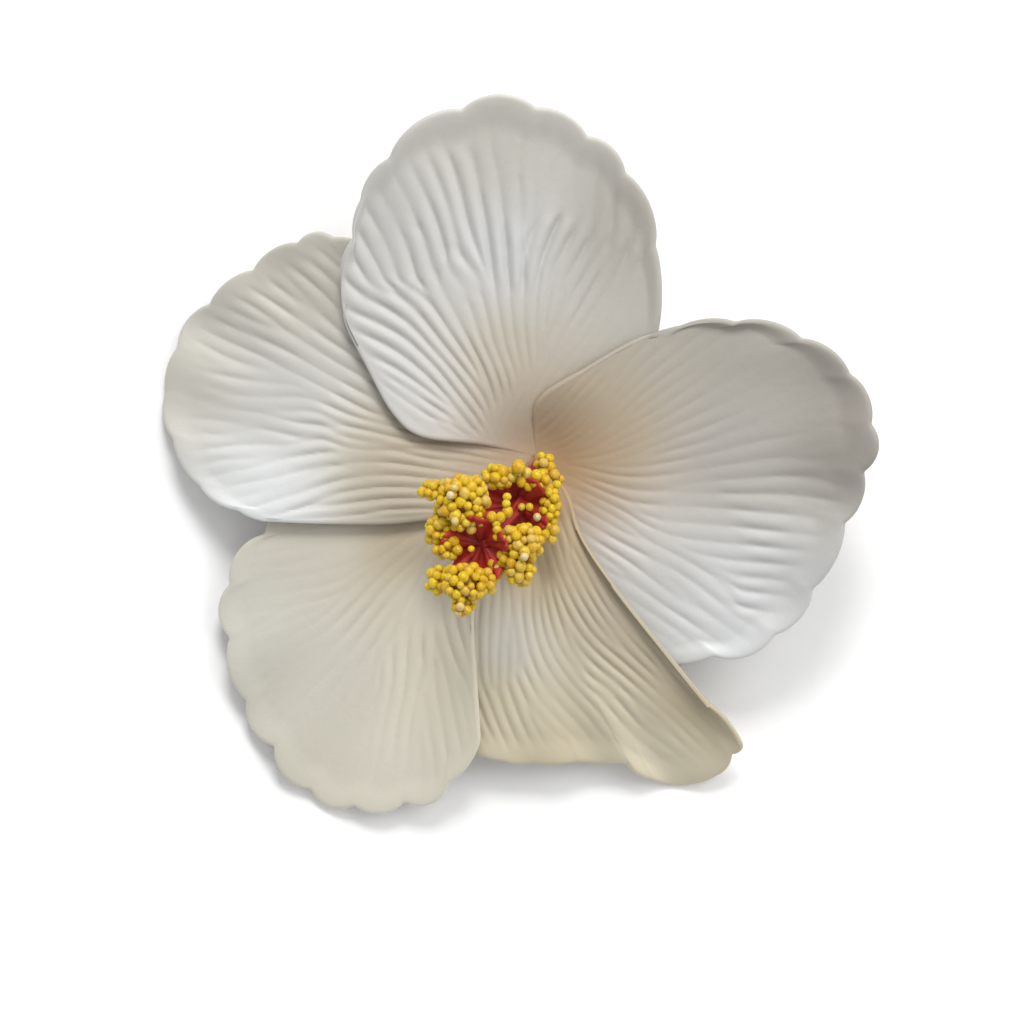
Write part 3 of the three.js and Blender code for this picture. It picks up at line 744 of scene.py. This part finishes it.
def joined(parts):
    points, quads, caps, values = [], [], [], []
    start = 0
    for p, q, c, value in parts:
        points.append(p)
        quads.append(q + start)
        caps.append(c + start)
        values.append(value)
        start += len(p)
    return np.vstack(points), np.vstack(quads), np.vstack(caps), np.concatenate(values)


stem, paleness = columnStem()
# the stem takes painted shade at 0.6 all along
columnParts = [(*stem, np.full(len(stem[0]), 0.6))] + [ruffleSheet(ruffle) for ruffle in ruffles]
points, quads, caps, foldShade = joined(columnParts)
pale = np.concatenate([paleness, np.zeros(len(points) - len(paleness))])
columnPiece = meshPiece("ruffled_column", points, quads, caps, {"foldShade": foldShade, "pale": pale})
finishPiece(columnPiece, ["staminal_column"], columnMaterial())
print("column", len(columnPiece.data.polygons))


# ---- anthers: heaps of small beads

# Each heap is a few ovals: middle, half sizes, and how many beads are tried on it.
heaps = {
    "anthers_top_left": [
        ((-11.1, -9.7, 27.4), (4.5, 4.3, 3.0), 80), ((-15.8, -8.2, 26.6), (2.3, 1.6, 1.6), 12),
        ((-10.6, -13.2, 27.6), (2.8, 1.6, 2.0), 18), ((-14.0, -11.8, 26.6), (2.0, 2.0, 1.8), 14),
    ],
    "anthers_left": [
        ((-15.0, -14.3, 25.2), (2.4, 2.6, 2.4), 30), ((-13.6, -17.0, 25.6), (2.4, 2.2, 2.0), 22),
    ],
    "anthers_tip": [
        ((-11.0, -22.6, 28.4), (4.1, 3.4, 2.8), 60), ((-15.0, -22.2, 27.4), (2.2, 2.2, 1.8), 18),
        ((-11.3, -26.0, 28.0), (2.0, 1.8, 1.8), 14), ((-7.6, -22.4, 27.2), (1.7, 2.2, 1.7), 14),
    ],
    "anthers_lower_right": [
        ((-1.7, -16.4, 28.2), (3.0, 3.3, 2.6), 42), ((-2.3, -20.3, 27.8), (2.5, 2.8, 2.4), 30),
        ((-4.4, -19.0, 27.4), (1.5, 1.7, 1.6), 9),
    ],
    "anthers_link": [((-6.4, -20.6, 26.4), (1.8, 1.7, 1.3), 13)],
    "anthers_ridge": [
        ((-4.5, -10.7, 27.6), (0.9, 1.9, 0.9), 6), ((-6.3, -12.7, 28.0), (1.7, 1.3, 1.0), 7),
        ((-4.8, -14.9, 28.4), (2.1, 1.4, 1.1), 10),
    ],
    "anthers_rear_left": [((-5.7, -6.1, 22.0), (3.0, 2.0, 1.9), 28)],
    "anthers_rear_middle": [((-0.5, -6.5, 21.6), (3.2, 1.6, 1.6), 26)],
    "anthers_rear_right": [
        ((2.2, -10.6, 20.8), (1.7, 3.8, 1.9), 34), ((2.0, -14.4, 20.6), (1.9, 2.1, 1.8), 20),
    ],
    "anthers_rear_top": [
        ((1.4, -4.2, 18.4), (1.6, 1.9, 1.5), 15), ((3.3, -6.4, 18.8), (1.2, 1.5, 1.3), 8),
    ],
}

# Beads listed one by one: middle, radius, and tone (0 yellow, 1 pale).
namedBeads = {
    "anthers_rear_left": [((-2.6, -4.6, 23.6), 1.12, 0.0)],
    "anthers_top_left": [((-13.1, -9.0, 30.6), 0.66, 1.0), ((-12.5, -7.9, 30.4), 0.6, 0.5),
                         ((-12.4, -13.0, 30.0), 0.74, 0.6), ((-9.9, -17.3, 27.2), 0.58, 0.0)],
    "anthers_lower_right": [((-1.7, -18.5, 31.0), 0.66, 0.8)],
    "anthers_rear_middle": [((0.3, -12.4, 21.8), 0.68, 0.6), ((-2.1, -10.8, 22.0), 0.6, 0.1),
                            ((-0.9, -10.8, 22.1), 0.6, 0.0)],
    "anthers_tip": [((-11.6, -26.2, 30.2), 0.72, 0.45), ((-11.9, -27.3, 29.4), 0.6, 0.5)],
}
beads = {
    "smallest": 0.62, "largest": 1.0, "closeness": 0.8, "tries": 900, "lowest": -0.3, "shadeFiller": 0.6,
    "cell": 0.42,
}


def beadShape():
    # an icosahedron split once and pushed out to a ball: 42 points, 80 faces
    g = (1 + 5 ** 0.5) / 2
    base = np.array([(-1, g, 0), (1, g, 0), (-1, -g, 0), (1, -g, 0), (0, -1, g), (0, 1, g),
                     (0, -1, -g), (0, 1, -g), (g, 0, -1), (g, 0, 1), (-g, 0, -1), (-g, 0, 1)], float)
    faces = [(0, 11, 5), (0, 5, 1), (0, 1, 7), (0, 7, 10), (0, 10, 11), (1, 5, 9), (5, 11, 4), (11, 10, 2),
             (10, 7, 6), (7, 1, 8), (3, 9, 4), (3, 4, 2), (3, 2, 6), (3, 6, 8), (3, 8, 9), (4, 9, 5),
             (2, 4, 11), (6, 2, 10), (8, 6, 7), (9, 8, 1)]
    points = [tuple(p) for p in base]
    halves = {}
    split = []
    for a, b, c in faces:
        mids = []
        for i, j in ((a, b), (b, c), (c, a)):
            key = (min(i, j), max(i, j))
            if key not in halves:
                halves[key] = len(points)
                points.append(tuple((base[i] + base[j]) / 2))
            mids.append(halves[key])
        ab, bc, ca = mids
        split += [(a, ab, ca), (b, bc, ab), (c, ca, bc), (ab, bc, ca)]
    return unit(np.array(points)), np.array(split)


def heapBeads(name, rng):
    # beads are set on each oval one by one, each at the free place with the smallest gap to the others, and
    # a bead with no free place is left out
    placed = [(np.array(p, float), r, tone) for p, r, tone in namedBeads.get(name, [])]
    for middle, half, count in heaps[name]:
        for _ in range(count):
            r = rng.uniform(beads["smallest"], beads["largest"])
            way = unit(rng.standard_normal((beads["tries"], 3)))
            way[:, 2] = np.where(way[:, 2] < beads["lowest"], -way[:, 2], way[:, 2])
            depth = rng.uniform(0.78, 1.02, (beads["tries"], 1))
            spots = np.array(middle) + way * np.maximum(np.array(half) - 0.6 * r, 0.2) * depth
            if not placed:
                placed.append((spots[0], r, 0.0))
                continue
            others = np.array([p for p, _, _ in placed])
            radii = np.array([q for _, q, _ in placed])
            gaps = np.linalg.norm(spots[:, None] - others[None], axis=-1) - beads["closeness"] * (radii + r)
            nearest = gaps.min(1)
            if nearest.max() <= 0:
                continue
            choice = np.where(nearest > 0, nearest, 99).argmin()
            placed.append((spots[choice], r, 0.25 * rng.uniform() ** 5))
    return placed


def beadMaterial():
    # dyed polystyrene beads: each a slightly different yellow, with a skin of small raised cells
    # with grooves between them, and a soft shine
    material, shader = newMaterial("yellowBead")
    tone = attribute(material, "tone")
    shade = attribute(material, "shade")
    yellow = mixColour(material, shade, linear("#D6AE00"), linear("#DEC400"))
    patches = ramp(material, objectNoise(material, 0.7, 3, 0.6), 0.42, 0.75)
    mottled = mixColour(material, patches, yellow, linear("#C28600"))
    pale = mixColour(material, tone, mottled, linear("#D8C8A0"))
    # the lumps inside the heaps are dark brown: painted shade between the beads
    coloured = mixColour(material, attribute(material, "shadeFiller"), pale, linear("#9A6A10"))
    place = addNode(material, "ShaderNodeTexCoord").outputs["Object"]
    cells = addNode(material, "ShaderNodeTexVoronoi", {"feature": "DISTANCE_TO_EDGE"},
                    {"Scale": 1 / (beads["cell"] * mm)}, {"Vector": place}).outputs["Distance"]
    normal = bump(material, ramp(material, cells, 0.0, 0.12), 0.05)
    setShader(material, shader, {
        "Roughness": 0.42,
        "IOR": 1.5,
        "Subsurface Weight": 0.2,
        "Subsurface Radius": (1.0, 0.7, 0.2),
        "Subsurface Scale": 0.0006,
        "Coat Weight": 0.15,
        "Coat Roughness": 0.3,
    }, {"Base Color": coloured, "Normal": normal})
    return material


ballPoints, ballFaces = beadShape()
beadYellow = beadMaterial()
rng = np.random.default_rng(4)
for name, ovals in heaps.items():
    placed = heapBeads(name, rng)
    centres = np.array([p for p, _, _ in placed])
    sizes = np.array([[r] * 3 for _, r, _ in placed]) * (1 + 0.06 * rng.standard_normal((len(placed), 3)))
    tones = np.array([tone for _, _, tone in placed])
    # a dark brown lump fills the middle of each oval as painted shade, so the gaps between beads look
    # shaded
    shadeFillers = len(ovals)
    centres = np.vstack([centres, [middle for middle, _, _ in ovals]])
    sizes = np.vstack([sizes, [beads["shadeFiller"] * np.array(half) for _, half, _ in ovals]])
    count = len(centres)
    each = np.ones(len(ballPoints))
    points = centres[:, None] + sizes[:, None] * ballPoints[None]
    faces = ballFaces[None] + len(ballPoints) * np.arange(count)[:, None, None]
    values = {
        "tone": np.outer(np.append(tones, np.zeros(shadeFillers)), each),
        "shade": np.outer(rng.uniform(0, 1, count), each),
        "shadeFiller": np.outer(np.arange(count) >= count - shadeFillers, each),
    }
    piece = meshPiece(name + "_beads", points, [], faces, values)
    finishPiece(piece, [name], beadYellow)
    print("beads", name, len(placed))


# ---- calyx and cut stalk

calyx = {
    "clearance": 3.4, "wall": 1.0, "reach": 8.5, "lobeReach": 2.7, "turn": 54, "rows": 30, "around": 160,
}


def calyxCup():
    # the cup follows the underside of the petals; its wall thins towards five pointed lobes
    s = np.linspace(0, 1, calyx["rows"])[1:, None]
    angle = np.linspace(0, 360, calyx["around"], endpoint=False)[None, :]
    lobe = np.cos(np.radians(5 * (angle - calyx["turn"])))
    reach = calyx["reach"] + calyx["lobeReach"] * np.sign(lobe) * np.abs(lobe) ** 1.3
    distance = s * reach
    inner = faceHeight(distance, angle) - calyx["clearance"]
    veins = 0.08 * np.cos(np.radians(35 * (angle - calyx["turn"]))) * smoothstep(s, 0.2, 0.6)
    outer = inner - calyx["wall"] * (1 - 0.6 * s ** 3) - veins
    a = np.radians(angle)
    flat = [throat[0] + distance * np.cos(a), throat[1] + distance * np.sin(a)]
    inside, outside = np.dstack(flat + [inner]), np.dstack(flat + [outer])
    rings = np.concatenate([outside, inside[::-1]])
    foot = np.array([*throat, outer[0].mean()])
    floor = np.array([*throat, inner[0].mean()])
    return closedTube(rings, foot, floor)


def stalkPlug():
    # a short stalk with shallow flutes and a bevelled, slightly hollow cut end
    high = (stalkHigh.z - stalkLow.z) / mm
    profile = np.array([
        (1.2, 0.12), (1.75, 0.0), (1.95, 0.12), (2.05, 0.5), (2.0, 1.5), (2.05, 2.6),
        (1.9, high - 0.15), (1.6, high),
    ])
    a = np.linspace(0, 2 * np.pi, 72, endpoint=False)
    r = profile[:, :1] * (1 + 0.025 * np.cos(9 * a))
    z = np.broadcast_to(profile[:, 1:], r.shape)
    rings = np.dstack([throat[0] + r * np.cos(a), throat[1] + r * np.sin(a), z])
    return closedTube(rings, np.array([*throat, 0.25]), np.array([*throat, high]))


def greenMaterial():
    # leaf green dyed foam, mottled lighter and darker, with a dull satin skin
    material, shader = newMaterial("calyxGreen")
    patches = ramp(material, objectNoise(material, 3, 4, 0.6), 0.3, 0.7)
    green = mixColour(material, patches, linear("#5E7D35"), linear("#8AA554"))
    normal = bump(material, objectNoise(material, 0.4, 4, 0.6), 0.05)
    setShader(material, shader, {"Roughness": 0.55, "IOR": 1.45, "Subsurface Weight": 0.1,
                                 "Subsurface Scale": 0.001}, {"Base Color": green, "Normal": normal})
    return material


green = greenMaterial()
calyxPiece = meshPiece("calyx_cup", *calyxCup())
finishPiece(calyxPiece, ["calyx"], green)
stalkPiece = meshPiece("stalk_plug", *stalkPlug())
finishPiece(stalkPiece, ["cut_stalk"], green)
print("calyx and stalk")


# ---- floor, light and camera

studio = {
    "lens": 300,
    "sensor": 36,
    "viewWidth": 160 * mm,
    "aim": (-3.6, -11.6, 14),
    "world": 0.56,
    "top": {"place": (0.02, 0.62, 0.64), "size": 0.3, "power": 5.4},
    "side": {"place": (0.58, 0.3, 0.7), "size": 0.6, "power": 3.5},
}


def floorMaterial():
    # smooth pale card, a trace of tooth
    material, shader = newMaterial("paleFloor")
    tone = mixColour(material, objectNoise(material, 60, 2), linear("#FAFAFA"), linear("#FCFCFC"))
    normal = bump(material, objectNoise(material, 1.5, 3), 0.01)
    setShader(material, shader, {"Roughness": 0.8}, {"Base Color": tone, "Normal": normal})
    return material


bpy.ops.mesh.primitive_plane_add(size=6, location=(0, 0, 0))
floor = bpy.context.object
floor.name = "floor"
floor.data.materials.append(floorMaterial())

aim = (np.array(studio["aim"]) + toFrame) * mm
for name in ("top", "side"):
    light = studio[name]
    data = bpy.data.lights.new(name, "AREA")
    data.size = light["size"]
    data.energy = light["power"]
    lamp = bpy.data.objects.new(name, data)
    lamp.location = light["place"]
    lamp.rotation_euler = (Vector(aim) - lamp.location).to_track_quat("-Z", "Y").to_euler()
    bpy.context.scene.collection.objects.link(lamp)

world = bpy.data.worlds.new("softRoom")
world.use_nodes = True
world.node_tree.nodes["Background"].inputs["Color"].default_value = (1, 1, 1, 1)
world.node_tree.nodes["Background"].inputs["Strength"].default_value = studio["world"]
bpy.context.scene.world = world
bpy.context.scene.view_settings.view_transform = "Standard"

camera = bpy.data.objects.new("camera", bpy.data.cameras.new("camera"))
camera.data.lens = studio["lens"]
camera.data.sensor_width = studio["sensor"]
camera.data.clip_end = 20
away = studio["viewWidth"] * studio["lens"] / studio["sensor"]
camera.location = (aim[0], aim[1], aim[2] + away)
bpy.context.scene.collection.objects.link(camera)
bpy.context.scene.camera = camera
